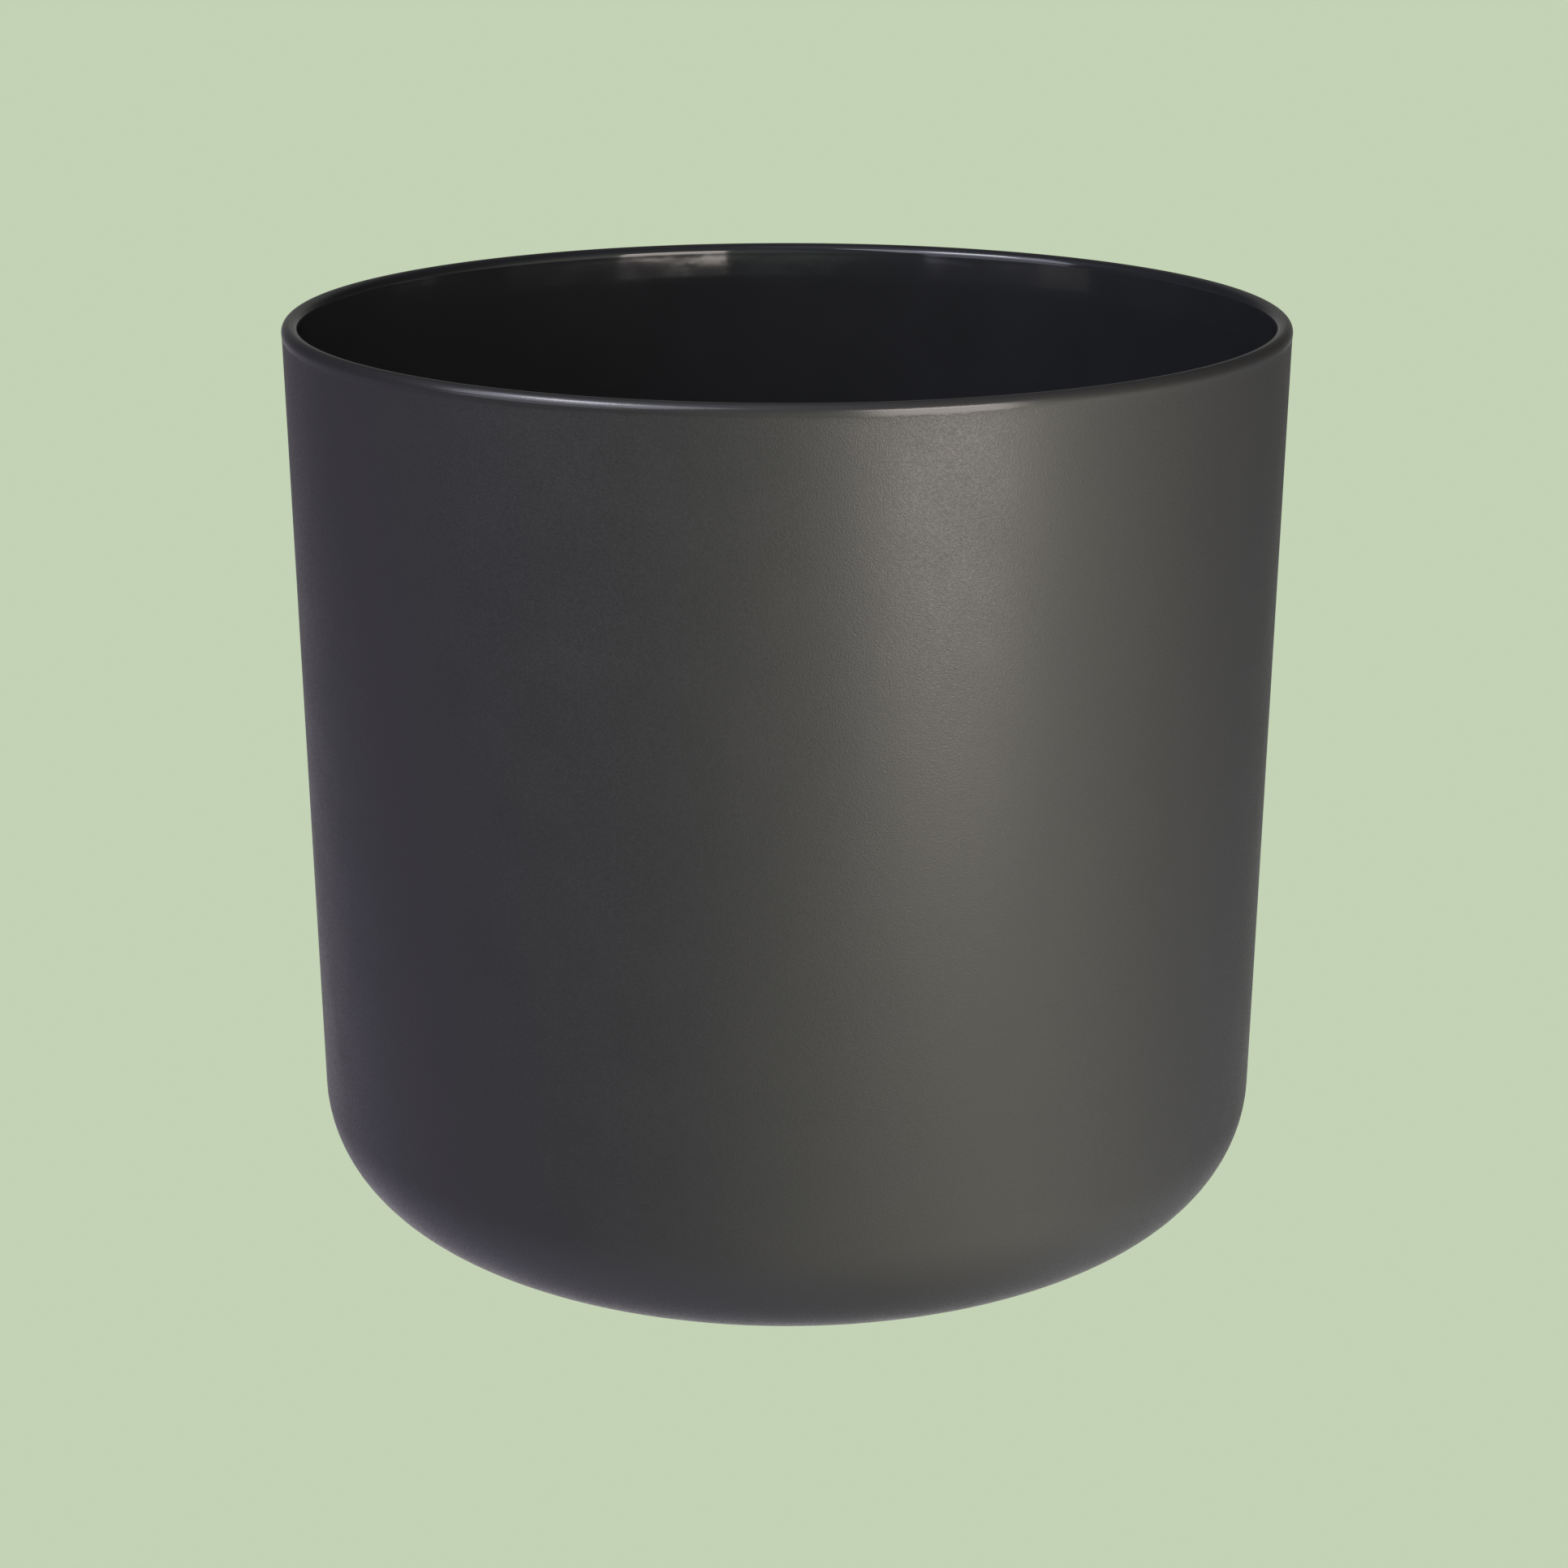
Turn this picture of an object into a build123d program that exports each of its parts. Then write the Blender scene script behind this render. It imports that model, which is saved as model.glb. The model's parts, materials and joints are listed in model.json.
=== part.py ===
from build123d import *
from math import cos, radians, sin
import os

# Empty candle jar: a drawn-in cup of opaque black glass with a baked satin coat
# over its outside. Both pieces are turned about Z, which is the jar's own axis.
# The origin is the centre of the base, on the table, and +Z points out of the mouth.
# Lengths are millimetres and angles are degrees.

# Outside of the finished jar, coat included
LIP_DIAMETER = 100.0
HEIGHT = 91.9
LIP_THICKNESS = 1.74
WALL_DRAFT = 0.745  # lean of the wall towards the base
HEEL_RADIUS = 12.4  # round between wall and base
NECK_RADIUS = 20.0  # shallow hollow that runs the lip bead into the wall
NECK_ANGLE = 4.5  # how far the bead turns under before the hollow starts

# Coat: where it ends, measured round the lip and round the heel
COAT_THICKNESS = 0.12
COAT_PAST_CREST = 20.0  # over the crest of the lip, towards the inside
COAT_ABOVE_TABLE = 14.0  # up the heel from the face that stands on the table

# Inside of the glass
MOUTH_RADIUS = 18.0  # gentle flare just below the lip
MOUTH_ANGLE = 12.0
LID_LAND = 8.0  # straight band below the flare, where a lid's seal grips
INNER_DRAFT = 1.0
INNER_HEEL_RADIUS = 10.0
FLOOR_HEIGHT = 4.2

# Underside of the glass
RING_WIDTH = 3.0  # flat ring that stands on the table
PUSH_UP = 0.8  # hollow inside the ring, at its middle


def from_centre(centre, radius, angle):
    """The point at this radius and angle from a centre."""
    return centre + Vector(radius, 0).rotate(Axis.Z, angle)


def heel_centre(wall_top, draft, radius, floor):
    """Centre of the arc that runs a wall, leaning in below wall_top, into a level floor."""
    lean = radians(draft)
    height = floor + radius
    wall_length = (wall_top.Y - height + radius * sin(lean)) / cos(lean)
    return Vector(wall_top.X - wall_length * sin(lean) - radius * cos(lean), height)


# Radii of the glass face under the coat, and the centres that glass and coat share
glass_lip_radius = (LIP_THICKNESS - COAT_THICKNESS) / 2
glass_neck_radius = NECK_RADIUS + COAT_THICKNESS
glass_heel_radius = HEEL_RADIUS - COAT_THICKNESS

coated_lip_radius = glass_lip_radius + COAT_THICKNESS
lip_centre = Vector(LIP_DIAMETER / 2 - coated_lip_radius, HEIGHT - coated_lip_radius)
neck_centre = from_centre(lip_centre, glass_lip_radius + glass_neck_radius, -NECK_ANGLE)
outer_wall_top = from_centre(neck_centre, glass_neck_radius, 180 - WALL_DRAFT)
outer_heel_centre = heel_centre(outer_wall_top, WALL_DRAFT, glass_heel_radius, 0)

# Centres of the glass's inner face
mouth_centre = from_centre(lip_centre, MOUTH_RADIUS - glass_lip_radius, -MOUTH_ANGLE)
land_top = from_centre(mouth_centre, MOUTH_RADIUS, 180)
land_bottom = land_top - Vector(0, LID_LAND)
inner_heel_centre = heel_centre(land_bottom, INNER_DRAFT, INNER_HEEL_RADIUS, FLOOR_HEIGHT)


def outer_face(film, crest_angle, heel_angle):
    """Draws lip, neck, wall and heel of the face that lies a film's thickness off the glass.

    The face starts at crest_angle round the lip and ends at heel_angle round the heel.
    """
    lip = CenterArc(lip_centre, glass_lip_radius + film, crest_angle, -NECK_ANGLE - crest_angle)
    neck = CenterArc(
        neck_centre, glass_neck_radius - film, 180 - NECK_ANGLE, NECK_ANGLE - WALL_DRAFT
    )
    heel = CenterArc(
        outer_heel_centre, glass_heel_radius + film, -WALL_DRAFT, heel_angle + WALL_DRAFT
    )
    Line(neck @ 1, heel @ 0)
    return lip @ 0, heel @ 1


# Glass body: outer face, standing ring, push-up, floor, inner wall, lid land and mouth
with BuildPart() as glass_body:
    with BuildSketch(Plane.XZ):
        with BuildLine():
            crest, ring_outer = outer_face(0, 90, -90)
            ring_inner = ring_outer - Vector(RING_WIDTH, 0)
            Line(ring_outer, ring_inner)
            TangentArc((0, PUSH_UP), ring_inner, tangent=(1, 0))
            Line((0, PUSH_UP), (0, FLOOR_HEIGHT))
            inner_heel = CenterArc(
                inner_heel_centre, INNER_HEEL_RADIUS, -90, 90 - INNER_DRAFT
            )
            Line((0, FLOOR_HEIGHT), inner_heel @ 0)
            Line(inner_heel @ 1, land_bottom)
            Line(land_bottom, land_top)
            CenterArc(mouth_centre, MOUTH_RADIUS, 180, -MOUTH_ANGLE)
            CenterArc(lip_centre, glass_lip_radius, 180 - MOUTH_ANGLE, MOUTH_ANGLE - 90)
        make_face()
    revolve(axis=Axis.Z)

# Outer coat: a film of even thickness from just over the crest of the lip down to the heel,
# where it stops short of the standing ring
with BuildPart() as outer_coat:
    with BuildSketch(Plane.XZ):
        with BuildLine():
            coat_ends = outer_face(
                COAT_THICKNESS, 90 + COAT_PAST_CREST, COAT_ABOVE_TABLE - 90
            )
            glass_ends = outer_face(0, 90 + COAT_PAST_CREST, COAT_ABOVE_TABLE - 90)
            for coat_end, glass_end in zip(coat_ends, glass_ends):
                Line(coat_end, glass_end)
        make_face()
    revolve(axis=Axis.Z)

os.makedirs("parts", exist_ok=True)
glass_body.part.label = "glass_body"
export_step(glass_body.part, "parts/glass_body.step")
outer_coat.part.label = "outer_coat"
export_step(outer_coat.part, "parts/outer_coat.step")
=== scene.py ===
import json
import math

import bmesh
import bpy
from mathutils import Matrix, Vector, noise


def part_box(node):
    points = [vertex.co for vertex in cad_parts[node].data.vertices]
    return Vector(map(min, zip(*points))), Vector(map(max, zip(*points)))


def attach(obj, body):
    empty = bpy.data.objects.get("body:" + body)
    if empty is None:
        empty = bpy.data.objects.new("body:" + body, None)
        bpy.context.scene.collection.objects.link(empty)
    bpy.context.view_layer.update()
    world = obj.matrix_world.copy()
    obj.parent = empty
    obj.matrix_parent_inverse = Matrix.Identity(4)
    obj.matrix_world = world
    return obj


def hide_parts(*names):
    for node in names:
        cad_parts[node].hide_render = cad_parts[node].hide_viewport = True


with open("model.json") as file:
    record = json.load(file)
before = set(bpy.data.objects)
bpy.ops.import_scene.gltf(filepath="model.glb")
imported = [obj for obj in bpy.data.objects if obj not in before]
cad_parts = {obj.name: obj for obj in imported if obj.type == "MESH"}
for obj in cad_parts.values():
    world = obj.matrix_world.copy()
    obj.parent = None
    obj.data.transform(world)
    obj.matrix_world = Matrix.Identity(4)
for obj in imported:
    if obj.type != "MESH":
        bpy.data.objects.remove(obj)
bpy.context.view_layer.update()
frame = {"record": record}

# An empty candle jar: a turned cup of opaque black glass, and the satin coat sprayed
# over its outside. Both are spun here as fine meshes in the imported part's own frame.
# Lengths are metres, angles are degrees, and the jar's axis is Z.

MM = 0.001

# ---------------------------------------------------------------- sizes of the jar

coat_low, coat_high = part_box("outer_coat")
glass_low, glass_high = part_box("glass_body")
mouth = next(m for m in frame["record"]["mounts"] if m["name"] == "mouth")

RIM_RADIUS = min(coat_high.x, coat_high.y, -coat_low.x, -coat_low.y)
HEIGHT = coat_high.z
FILM = HEIGHT - glass_high.z
LAND_RADIUS = mouth["dims"]["r_mm"] * MM
LAND_LENGTH = mouth["dims"]["length_mm"] * MM

# The section's rounds and leans, as the part has them
LIP_THICKNESS = 1.74 * MM
WALL_DRAFT = 0.745
HEEL_RADIUS = 12.4 * MM
NECK_RADIUS = 20 * MM
NECK_ANGLE = 4.5
MOUTH_RADIUS = 18 * MM
MOUTH_ANGLE = 12
INNER_DRAFT = 1
INNER_HEEL_RADIUS = 10 * MM
FLOOR_HEIGHT = 4.2 * MM
RING_WIDTH = 3 * MM
PUSH_UP = 0.8 * MM

# The coat's edges, as angles round the lip and round the heel
CREST_END = 110
HEEL_END = -76

# How finely each stretch of the section is cut
SEGMENTS = 384
LIP_STEPS = 28
NECK_STEPS = 12
WALL_STEPS = 20
HEEL_STEPS = 18
RING_STEPS = 4
FLARE_STEPS = 64
LAND_STEPS = 6
FLOOR_STEPS = 12
SHARP_EDGE = math.radians(50)

# What only the fine meshes have
COAT_EDGE = 0.012 * MM  # what is left of the film at its feathered edges
CREST_FEATHER = 70  # the film is full up to this angle of the lip
HEEL_FEATHER = 8  # and from this many degrees inside its lower edge
COAT_WANDER = 2.5  # how far the sprayed edges wander, in degrees
CREST_WANDER_SIZE = 9 * MM
HEEL_WANDER_SIZE = 7 * MM
FILM_PEEL = 0.006 * MM  # slow unevenness of the film
PEEL_SIZE = 5 * MM
GLASS_SWELL = 0.0045 * MM  # slow unevenness of the pressed inside
SWELL_SIZE = 4.5 * MM
SWELL_STRETCH = 1.6  # the swells are this much longer round the jar than down it
SWELL_START = (0.9 * MM, 1.8 * MM)  # and they set in between these depths below the top
BEAD_LEANS = (  # at each depth, how many degrees the fire-polished bead leans back from the plain section
    (0.72 * MM, 0),
    (0.95 * MM, 7.3),
    (1.2 * MM, 6.4),
    (1.45 * MM, 5.25),
    (2.4 * MM, 2.1),
    (3.4 * MM, -1.3),
    (4.1 * MM, -2.0),
    (5 * MM, 0),
)
BEAD_END = (4 * MM, 24 * MM)  # where the inside comes back to its plain section


# ---------------------------------------------------------------- the turned section


def around(centre, radius, angle):
    """The point of a circle in the section, at an angle from the outward direction."""
    turn = math.radians(angle)
    return centre[0] + radius * math.cos(turn), centre[1] + radius * math.sin(turn)


def arc(centre, radius, start, end, steps):
    """Points (radius, height) along a circle, both ends included."""
    return [around(centre, radius, start + (end - start) * i / steps) for i in range(steps + 1)]


def line(start, end, steps):
    """Points between two others, both left out."""
    return [
        (start[0] + (end[0] - start[0]) * i / steps, start[1] + (end[1] - start[1]) * i / steps)
        for i in range(1, steps)
    ]


def smooth(low, high, x):
    """0 below low, 1 above high, and an eased rise between them."""
    t = min(1, max(0, (x - low) / (high - low)))
    return t * t * (3 - 2 * t)


lip_radius = LIP_THICKNESS / 2 - FILM / 2
lip_centre = (RIM_RADIUS - FILM - lip_radius, HEIGHT - FILM - lip_radius)
neck_radius = NECK_RADIUS + FILM
neck_centre = around(lip_centre, lip_radius + neck_radius, -NECK_ANGLE)
wall_top = around(neck_centre, neck_radius, 180 - WALL_DRAFT)
heel_radius = HEEL_RADIUS - FILM
lean = math.tan(math.radians(WALL_DRAFT))
heel_corner = heel_radius * (1 - math.sin(math.radians(WALL_DRAFT)))
heel_start_radius = wall_top[0] - (wall_top[1] - heel_corner) * lean
heel_centre = (heel_start_radius - heel_radius * math.cos(math.radians(WALL_DRAFT)), heel_radius)

mouth_start = around(lip_centre, lip_radius, 180 - MOUTH_ANGLE)
mouth_centre = around(mouth_start, MOUTH_RADIUS, -MOUTH_ANGLE)
land_top = (LAND_RADIUS, mouth_centre[1])
land_bottom = (LAND_RADIUS, land_top[1] - LAND_LENGTH)
inner_lean = math.tan(math.radians(INNER_DRAFT))
inner_corner = FLOOR_HEIGHT + INNER_HEEL_RADIUS * (1 - math.sin(math.radians(INNER_DRAFT)))
inner_start_radius = LAND_RADIUS - (land_bottom[1] - inner_corner) * inner_lean
inner_heel_centre = (
    inner_start_radius - INNER_HEEL_RADIUS * math.cos(math.radians(INNER_DRAFT)),
    FLOOR_HEIGHT + INNER_HEEL_RADIUS,
)


def outer_face(crest_end, heel_end):
    """The glass under the coat: (radius, height, which way it faces), from the lip to the heel."""

    def faced(centre, radius, start, end, steps, turn=0):
        points = arc(centre, radius, start, end, steps)
        return [(*point, start - turn + (end - start) * i / steps) for i, point in enumerate(points)]

    lip = faced(lip_centre, lip_radius, crest_end, -NECK_ANGLE, LIP_STEPS)
    neck = faced(neck_centre, neck_radius, 180 - NECK_ANGLE, 180 - WALL_DRAFT, NECK_STEPS, turn=180)
    heel = faced(heel_centre, heel_radius, -WALL_DRAFT, heel_end, HEEL_STEPS)
    wall = [(*point, -WALL_DRAFT) for point in line(neck[-1], heel[0], WALL_STEPS)]
    return lip + neck[1:] + wall + heel


def glass_section():
    """The cup's outline, from the middle of its underside round the outside to its floor."""
    ring_edge = heel_centre[0] - RING_WIDTH
    hollow = [ring_edge * i / FLOOR_STEPS for i in range(FLOOR_STEPS)]
    push_up = [(r, PUSH_UP * (1 - (r / ring_edge) ** 2)) for r in hollow]
    ring = [(ring_edge, 0)] + line((ring_edge, 0), (heel_centre[0], 0), RING_STEPS)
    outside = [(r, z) for r, z, facing in outer_face(90, -90)][::-1]
    crest = arc(lip_centre, lip_radius, 90, 180 - MOUTH_ANGLE, LIP_STEPS)[1:]
    flare = arc(mouth_centre, MOUTH_RADIUS, 180 - MOUTH_ANGLE, 180, FLARE_STEPS)[1:]
    heel = arc(inner_heel_centre, INNER_HEEL_RADIUS, -INNER_DRAFT, -90, HEEL_STEPS)
    land = line(land_top, land_bottom, LAND_STEPS) + [land_bottom]
    wall = line(land_bottom, heel[0], WALL_STEPS)
    floor = line(heel[-1], (0, FLOOR_HEIGHT), FLOOR_STEPS) + [(0, FLOOR_HEIGHT)]
    return push_up + ring + outside + crest + flare + land + wall + heel + floor


# ---------------------------------------------------------------- the two pieces


def slow_noise(azimuth, radius, height, size, seed):
    """Seamless noise from -1 to 1 on the jar's surface, with swells of about that size."""
    place = Vector((radius * math.cos(azimuth), radius * math.sin(azimuth), height))
    return noise.noise(place / size + Vector((seed, seed, seed)))


def turned(name, node, section_at, loop):
    """A turned piece. A loop's section closes on itself, and any other starts and ends on the axis."""
    mesh = bmesh.new()
    columns = []
    for k in range(SEGMENTS):
        azimuth = math.tau * k / SEGMENTS
        side, ahead = math.cos(azimuth), math.sin(azimuth)
        column = []
        for i, (r, z) in enumerate(section_at(azimuth)):
            shared = r == 0 and columns
            column.append(columns[0][i] if shared else mesh.verts.new((r * side, r * ahead, z)))
        columns.append(column + column[:1] if loop else column)
    for here, there in zip(columns, columns[1:] + columns[:1]):
        for i in range(len(here) - 1):
            corners = dict.fromkeys((here[i], here[i + 1], there[i + 1], there[i]))
            mesh.faces.new(list(corners))
    bmesh.ops.recalc_face_normals(mesh, faces=mesh.faces)
    for face in mesh.faces:
        face.smooth = True
    for edge in mesh.edges:
        edge.smooth = edge.calc_face_angle() < SHARP_EDGE
    data = bpy.data.meshes.new(name)
    mesh.to_mesh(data)
    mesh.free()
    piece = bpy.data.objects.new(name, data)
    bpy.context.scene.collection.objects.link(piece)
    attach(piece, "root")
    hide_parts(node)
    return piece


def bead_sink(below_top):
    """How far the inside lies behind its plain section under the bead, at a depth below the top."""
    sink = 0
    for (above, lean), (below, next_lean) in zip(BEAD_LEANS, BEAD_LEANS[1:]):
        share = min(max((below_top - above) / (below - above), 0), 1)
        sink += math.radians(lean + (next_lean - lean) * share / 2) * (below - above) * share
    return sink * (1 - smooth(*BEAD_END, below_top))


def make_glass():
    """The cup. Its inside swells a little from the press, and steps back faintly under the lip's bead."""
    section = glass_section()
    inside_from = section.index(mouth_start_point(section))

    def section_at(azimuth):
        points = list(section)
        for i in range(inside_from, len(points) - 1):
            r, z = points[i]
            below_top = HEIGHT - z
            swell = GLASS_SWELL * slow_noise(azimuth, r, z * SWELL_STRETCH, SWELL_SIZE, seed=3)
            swell *= smooth(*SWELL_START, below_top)
            on_side = r > inner_heel_centre[0]
            points[i] = (r + bead_sink(below_top) + swell, z) if on_side else (r, z + swell)
        return points

    return turned("glass_cup", "glass_body", section_at, loop=False)


def mouth_start_point(section):
    """The section's point where the lip's round ends and the flare begins."""
    return min(section, key=lambda point: math.dist(point, mouth_start))


def film_thickness(azimuth, r, z, facing, crest_end, heel_end):
    """The coat's thickness: full on the wall, a little uneven, and feathered at both ends."""
    spread = min(smooth(crest_end, CREST_FEATHER, facing), smooth(heel_end, heel_end + HEEL_FEATHER, facing))
    peel = FILM_PEEL * (slow_noise(azimuth, r, z, PEEL_SIZE, seed=41) - 1) / 2
    uneven = peel * smooth(lip_radius / 2, lip_radius, HEIGHT - z)
    return COAT_EDGE + (FILM + uneven - COAT_EDGE) * spread


def make_coat():
    """The coat: a closed skin on the glass, with slightly wandering sprayed edges."""

    def section_at(azimuth):
        crest_wander = slow_noise(azimuth, RIM_RADIUS, HEIGHT, CREST_WANDER_SIZE, seed=11)
        heel_wander = slow_noise(azimuth, heel_centre[0], 0, HEEL_WANDER_SIZE, seed=23)
        crest_end = CREST_END + COAT_WANDER * crest_wander
        heel_end = HEEL_END + COAT_WANDER * heel_wander
        face = outer_face(crest_end, heel_end)
        outer = []
        for r, z, facing in face:
            film = film_thickness(azimuth, r, z, facing, crest_end, heel_end)
            outer.append(around((r, z), film, facing))
        return outer + [(r, z) for r, z, facing in reversed(face)]

    return turned("satin_coat", "outer_coat", section_at, loop=True)


glass = make_glass()
coat = make_coat()

# ---------------------------------------------------------------- materials

REFRACTION = 1.5
NOISE_SPAN = (0.3, 0.7)  # the noise stays mostly between these values

GLASS_COLOURS = ((0.0125, 0.0130, 0.0135), (0.0170, 0.0175, 0.0195))
GLASS_ROUGHNESS = (0.06, 0.10)
GLASS_CLOUD = 9 * MM
GLASS_RIPPLE = 2.2 * MM
GLASS_RIPPLE_DEPTH = 0.01 * MM

COAT_COLOURS = ((0.0202, 0.0202, 0.0213), (0.0247, 0.0238, 0.0225))
COAT_MOTTLE = 16 * MM
WALL_ROUGHNESS = (0.35, 0.41)
WALL_PATCH = 7 * MM  # size of the patches in which the roughness varies
LIP_ROUGHNESS = 0.21
SPECKLE = 0.08  # how far the grain of the wall makes its roughness vary
SPECKLE_SIZE = 0.24 * MM
GRAIN_SIZE = 0.14 * MM
GRAIN_DEPTH = 0.03 * MM
GRAIN_STRENGTH = (0.18, 0.65)  # over the lip, and on the wall
RIPPLE_SIZE = 1.1 * MM
RIPPLE_DEPTH = 0.02 * MM
RIPPLE_STRENGTH = (0.05, 0.12)  # over the lip, and on the wall
BAND_DEPTH = 1.27 * MM  # the smooth band over the lip ends this far below the top
BAND_DRIFT = 0.45 * MM  # how far its edge wanders slowly, and then finely
BAND_DRIFT_SIZE = 24 * MM
BAND_FRAY = 0.25 * MM
BAND_FRAY_SIZE = 1.6 * MM
BAND_STEP = 0.008 * MM  # height of the step at its edge, and half the step's width
BAND_EDGE = 0.09 * MM


class Nodes:
    """A material's node tree, with short calls for the nodes used here."""

    def __init__(self, name):
        self.material = bpy.data.materials.new(name)
        self.material.use_nodes = True
        self.tree = self.material.node_tree
        self.shader = self.tree.nodes["Principled BSDF"]
        self.place = self.tree.nodes.new("ShaderNodeTexCoord").outputs["Object"]

    def link(self, source, target):
        self.tree.links.new(source, target)

    def noise(self, size, detail):
        """Noise with grains of about that size in metres."""
        node = self.tree.nodes.new("ShaderNodeTexNoise")
        node.inputs["Scale"].default_value = 1 / size
        node.inputs["Detail"].default_value = detail
        self.link(self.place, node.inputs["Vector"])
        return node.outputs["Fac"]

    def remap(self, value, source, target):
        """The value carried from one span to another, and held within it."""
        node = self.tree.nodes.new("ShaderNodeMapRange")
        for socket, number in zip(("From Min", "From Max", "To Min", "To Max"), (*source, *target)):
            node.inputs[socket].default_value = number
        self.link(value, node.inputs["Value"])
        return node.outputs["Result"]

    def math(self, operation, first, second):
        """A sum, difference or product of values or plain numbers."""
        node = self.tree.nodes.new("ShaderNodeMath")
        node.operation = operation
        for socket, value in zip(node.inputs, (first, second)):
            if isinstance(value, (int, float)):
                socket.default_value = value
            else:
                self.link(value, socket)
        return node.outputs["Value"]

    def mix(self, factor, first, second):
        """A colour between two others."""
        node = self.tree.nodes.new("ShaderNodeMix")
        node.data_type = "RGBA"
        self.link(factor, node.inputs["Factor"])
        node.inputs[6].default_value = (*first, 1)
        node.inputs[7].default_value = (*second, 1)
        return node.outputs[2]

    def height(self):
        """Height above the table."""
        node = self.tree.nodes.new("ShaderNodeSeparateXYZ")
        self.link(self.place, node.inputs["Vector"])
        return node.outputs["Z"]

    def bump(self, relief, distance, strength=1.0, below=None):
        """A surface relief of that height in metres, on top of the one below it."""
        node = self.tree.nodes.new("ShaderNodeBump")
        node.inputs["Distance"].default_value = distance
        if isinstance(strength, (int, float)):
            node.inputs["Strength"].default_value = strength
        else:
            self.link(strength, node.inputs["Strength"])
        self.link(relief, node.inputs["Height"])
        if below is not None:
            self.link(below, node.inputs["Normal"])
        return node.outputs["Normal"]


def glass_material():
    """Opaque black glass, glossy inside, a little uneven from the press."""
    nodes = Nodes("black_glass")
    shader = nodes.shader.inputs
    shader["IOR"].default_value = REFRACTION
    cloud = nodes.noise(GLASS_CLOUD, 3)
    ripple = nodes.bump(nodes.noise(GLASS_RIPPLE, 2), GLASS_RIPPLE_DEPTH, 0.5)
    nodes.link(nodes.mix(cloud, *GLASS_COLOURS), shader["Base Color"])
    nodes.link(nodes.remap(cloud, NOISE_SPAN, GLASS_ROUGHNESS), shader["Roughness"])
    nodes.link(ripple, shader["Normal"])
    return nodes.material


def coat_material():
    """A baked satin coat: grained on the wall, and smooth over the lip down to an uneven edge."""
    nodes = Nodes("satin_coat")
    shader = nodes.shader.inputs
    shader["IOR"].default_value = REFRACTION
    nodes.link(nodes.mix(nodes.noise(COAT_MOTTLE, 3), *COAT_COLOURS), shader["Base Color"])

    drift = nodes.remap(nodes.noise(BAND_DRIFT_SIZE, 1), (0, 1), (-BAND_DRIFT, BAND_DRIFT))
    fray = nodes.remap(nodes.noise(BAND_FRAY_SIZE, 4), (0, 1), (-BAND_FRAY, BAND_FRAY))
    edge = nodes.math("ADD", nodes.height(), nodes.math("ADD", drift, fray))
    band_end = HEIGHT - BAND_DEPTH
    on_wall = nodes.remap(edge, (band_end + BAND_EDGE, band_end - BAND_EDGE), (0, 1))

    patches = nodes.remap(nodes.noise(WALL_PATCH, 3), NOISE_SPAN, WALL_ROUGHNESS)
    speckle = nodes.remap(nodes.noise(SPECKLE_SIZE, 2), NOISE_SPAN, (-SPECKLE, SPECKLE))
    above_lip = nodes.math("SUBTRACT", nodes.math("ADD", patches, speckle), LIP_ROUGHNESS)
    roughness = nodes.math("ADD", nodes.math("MULTIPLY", above_lip, on_wall), LIP_ROUGHNESS)
    nodes.link(roughness, shader["Roughness"])

    grain_strength = nodes.remap(on_wall, (0, 1), GRAIN_STRENGTH)
    ripple_strength = nodes.remap(on_wall, (0, 1), RIPPLE_STRENGTH)
    step = nodes.bump(nodes.math("SUBTRACT", 1, on_wall), BAND_STEP)
    grain = nodes.bump(nodes.noise(GRAIN_SIZE, 1), GRAIN_DEPTH, grain_strength, step)
    ripple = nodes.bump(nodes.noise(RIPPLE_SIZE, 1), RIPPLE_DEPTH, ripple_strength, grain)
    nodes.link(ripple, shader["Normal"])
    return nodes.material


glass.data.materials.append(glass_material())
coat.data.materials.append(coat_material())

# ---------------------------------------------------------------- camera

CAMERA_PLACE = (-0.00030, -0.3165, 0.14219)
CAMERA_PITCH = 17.503  # how far it looks down
LENS = 72.90  # millimetres
SENSOR = 36

camera_data = bpy.data.cameras.new("camera")
camera_data.lens = LENS
camera_data.sensor_width = SENSOR
camera_data.clip_start = 0.01
camera_data.clip_end = 50
camera = bpy.data.objects.new("camera", camera_data)
camera.location = CAMERA_PLACE
camera.rotation_euler = (math.radians(90 - CAMERA_PITCH), 0, 0)
bpy.context.scene.collection.objects.link(camera)
bpy.context.scene.camera = camera

# ---------------------------------------------------------------- studio

PALE = (0.552, 0.645, 0.463)
FLOOR_HALF = 4
BACKDROP_RADIUS = 6


def pale_material():
    """An even pale surface, clear from behind, so that the jar's underside can be seen through the floor."""
    material = bpy.data.materials.new("pale_surface")
    material.use_nodes = True
    tree = material.node_tree
    tree.nodes.remove(tree.nodes["Principled BSDF"])
    glow = tree.nodes.new("ShaderNodeEmission")
    glow.inputs["Color"].default_value = (*PALE, 1)
    clear = tree.nodes.new("ShaderNodeBsdfTransparent")
    side = tree.nodes.new("ShaderNodeMixShader")
    tree.links.new(tree.nodes.new("ShaderNodeNewGeometry").outputs["Backfacing"], side.inputs[0])
    tree.links.new(glow.outputs[0], side.inputs[1])
    tree.links.new(clear.outputs[0], side.inputs[2])
    tree.links.new(side.outputs[0], tree.nodes["Material Output"].inputs["Surface"])
    return material


def pale_stage(name, mesh, material):
    """Part of the plain surroundings: the camera sees it, but it throws no light or shadow on the jar."""
    data = bpy.data.meshes.new(name)
    mesh.to_mesh(data)
    mesh.free()
    data.materials.append(material)
    piece = bpy.data.objects.new(name, data)
    bpy.context.scene.collection.objects.link(piece)
    piece.visible_glossy = False
    piece.visible_diffuse = False
    piece.visible_shadow = False
    return piece


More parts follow.
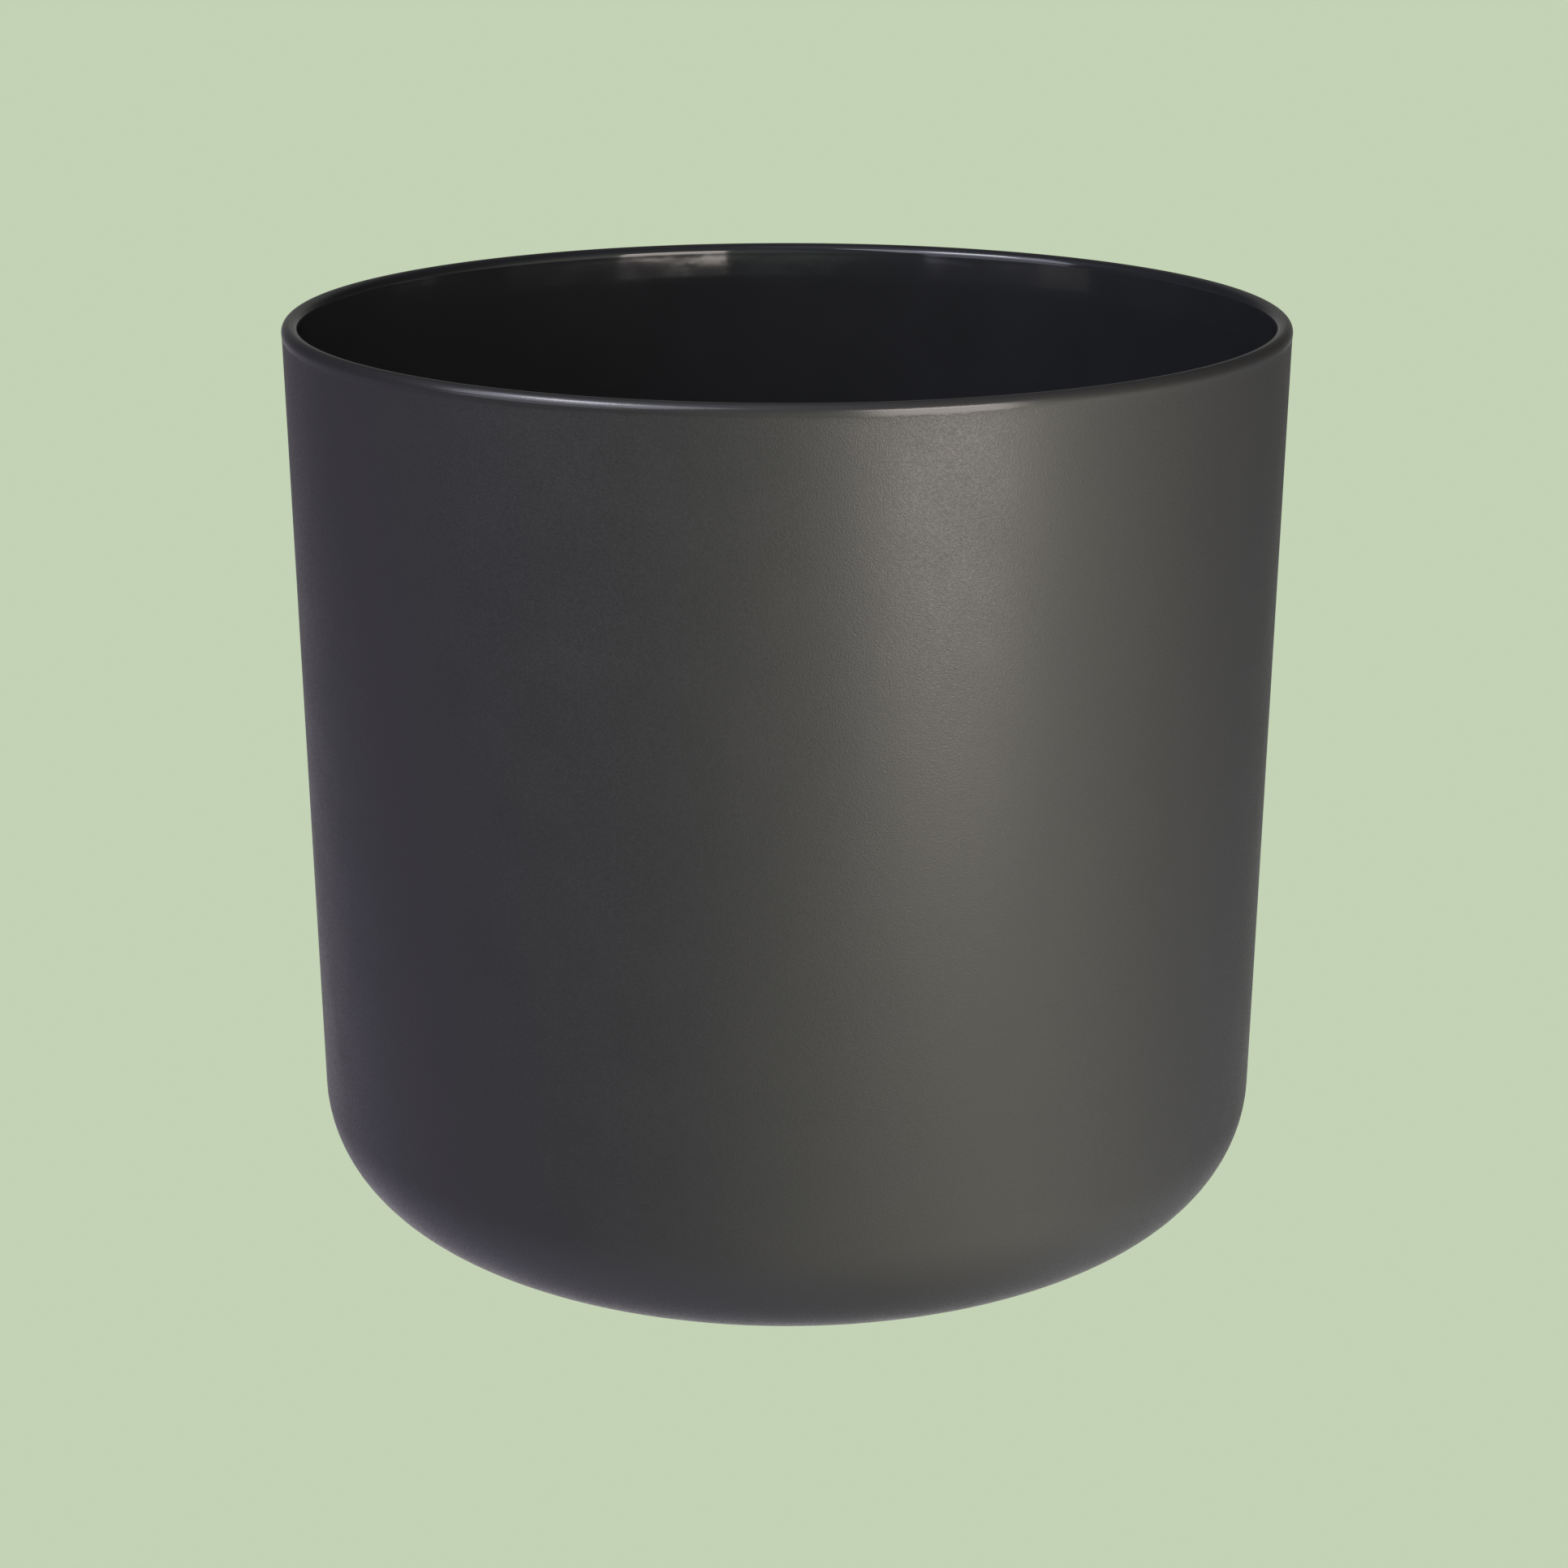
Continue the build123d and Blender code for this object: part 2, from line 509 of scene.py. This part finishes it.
def surroundings():
    """The pale floor that the jar stands on, and a pale round far behind it."""
    material = pale_material()
    floor = bmesh.new()
    bmesh.ops.create_grid(floor, x_segments=1, y_segments=1, size=FLOOR_HALF)
    pale_stage("floor", floor, material)
    backdrop = bmesh.new()
    bmesh.ops.create_uvsphere(backdrop, u_segments=64, v_segments=32, radius=BACKDROP_RADIUS)
    bmesh.ops.reverse_faces(backdrop, faces=backdrop.faces)
    pale_stage("backdrop", backdrop, material)


def softbox(name, stand, height, width, tall, tilt, brightness, tint):
    """A lit panel that faces the jar, tilted down. stand is where its middle is, seen from above."""
    data = bpy.data.lights.new(name, "AREA")
    data.shape = "RECTANGLE"
    data.size = width
    data.size_y = tall
    data.color = tint
    data.energy = brightness * math.pi * width * tall
    light = bpy.data.objects.new(name, data)
    light.location = (stand[0], stand[1], height)
    towards = Vector((-stand[0], -stand[1], 0)).normalized()
    aim = towards * math.cos(math.radians(tilt)) + Vector((0, 0, -math.sin(math.radians(tilt))))
    light.rotation_euler = aim.to_track_quat("-Z", "Y").to_euler()
    bpy.context.scene.collection.objects.link(light)
    return light


def room(glows):
    """The room round the jar, dark but for soft glows. Azimuth 0 is the camera's side, and 90 the right."""
    world = bpy.data.worlds.new("room")
    world.use_nodes = True
    tree = world.node_tree
    way = tree.nodes.new("ShaderNodeTexCoord").outputs["Generated"]
    total = None
    for azimuth, elevation, tightness, colour in glows:
        side, up = math.radians(azimuth), math.radians(elevation)
        level = math.cos(up)
        dot = tree.nodes.new("ShaderNodeVectorMath")
        dot.operation = "DOT_PRODUCT"
        dot.inputs[1].default_value = (math.sin(side) * level, -math.cos(side) * level, math.sin(up))
        tree.links.new(way, dot.inputs[0])
        fall = tree.nodes.new("ShaderNodeMath")
        fall.operation = "MULTIPLY_ADD"
        fall.inputs[1].default_value = tightness
        fall.inputs[2].default_value = -tightness
        tree.links.new(dot.outputs["Value"], fall.inputs[0])
        glow = tree.nodes.new("ShaderNodeMath")
        glow.operation = "EXPONENT"
        tree.links.new(fall.outputs[0], glow.inputs[0])
        tinted = tree.nodes.new("ShaderNodeVectorMath")
        tinted.operation = "SCALE"
        tinted.inputs[0].default_value = colour
        tree.links.new(glow.outputs[0], tinted.inputs["Scale"])
        joined = tree.nodes.new("ShaderNodeVectorMath")
        joined.operation = "ADD"
        tree.links.new(tinted.outputs[0], joined.inputs[0])
        if total is not None:
            tree.links.new(total, joined.inputs[1])
        total = joined.outputs[0]
    tree.links.new(total, tree.nodes["Background"].inputs["Color"])
    bpy.context.scene.world = world
    return world


surroundings()
softbox("key", (0.146, -0.240), 0.114, 0.147, 0.228, 0, 6.1, (1.0, 0.90, 0.84))
softbox("key_top", (0.1454, -0.2390), 0.200, 0.146, 0.056, 0, 3.6, (1.0, 0.90, 0.84))
softbox("side_core", (-0.829, -0.508), 1.08, 0.48, 0.32, 46, 11.5, (0.94, 0.93, 1.0))
softbox("side", (-0.933, -0.653), 1.04, 1.36, 1.09, 41, 3.7, (0.84, 0.86, 1.0))
softbox("side_low", (-1.149, -0.775), 0.265, 1.01, 0.34, 8, 1.6, (0.81, 0.81, 1.0))
room(
    [
        (42, 22, 8, (0.52, 0.56, 0.51)),
        (60, -25, 8, (1.58, 1.57, 1.35)),
        (15, -25, 8, (0.60, 0.60, 0.45)),
        (112, -36, 8, (0.35, 0.37, 0.42)),
        (0, 5, 14, (0.25, 0.35, 0.30)),
        (-20, -60, 8, (0.42, 0.46, 0.58)),
        (110, -60, 8, (0.30, 0.30, 0.30)),
        (-120, -60, 8, (0.30, 0.28, 0.36)),
        (-62, -40, 14, (0.13, 0.12, 0.17)),
        (-100, -28, 8, (0.22, 0.19, 0.27)),
        (-150, -34, 10, (0.24, 0.21, 0.28)),
        (180, -32, 14, (0.95, 0.95, 0.87)),
        (180, 10, 14, (0.16, 0.16, 0.15)),
        (-60, 65, 8, (0.55, 0.58, 0.75)),
    ]
)
bpy.context.scene.view_settings.view_transform = "Standard"
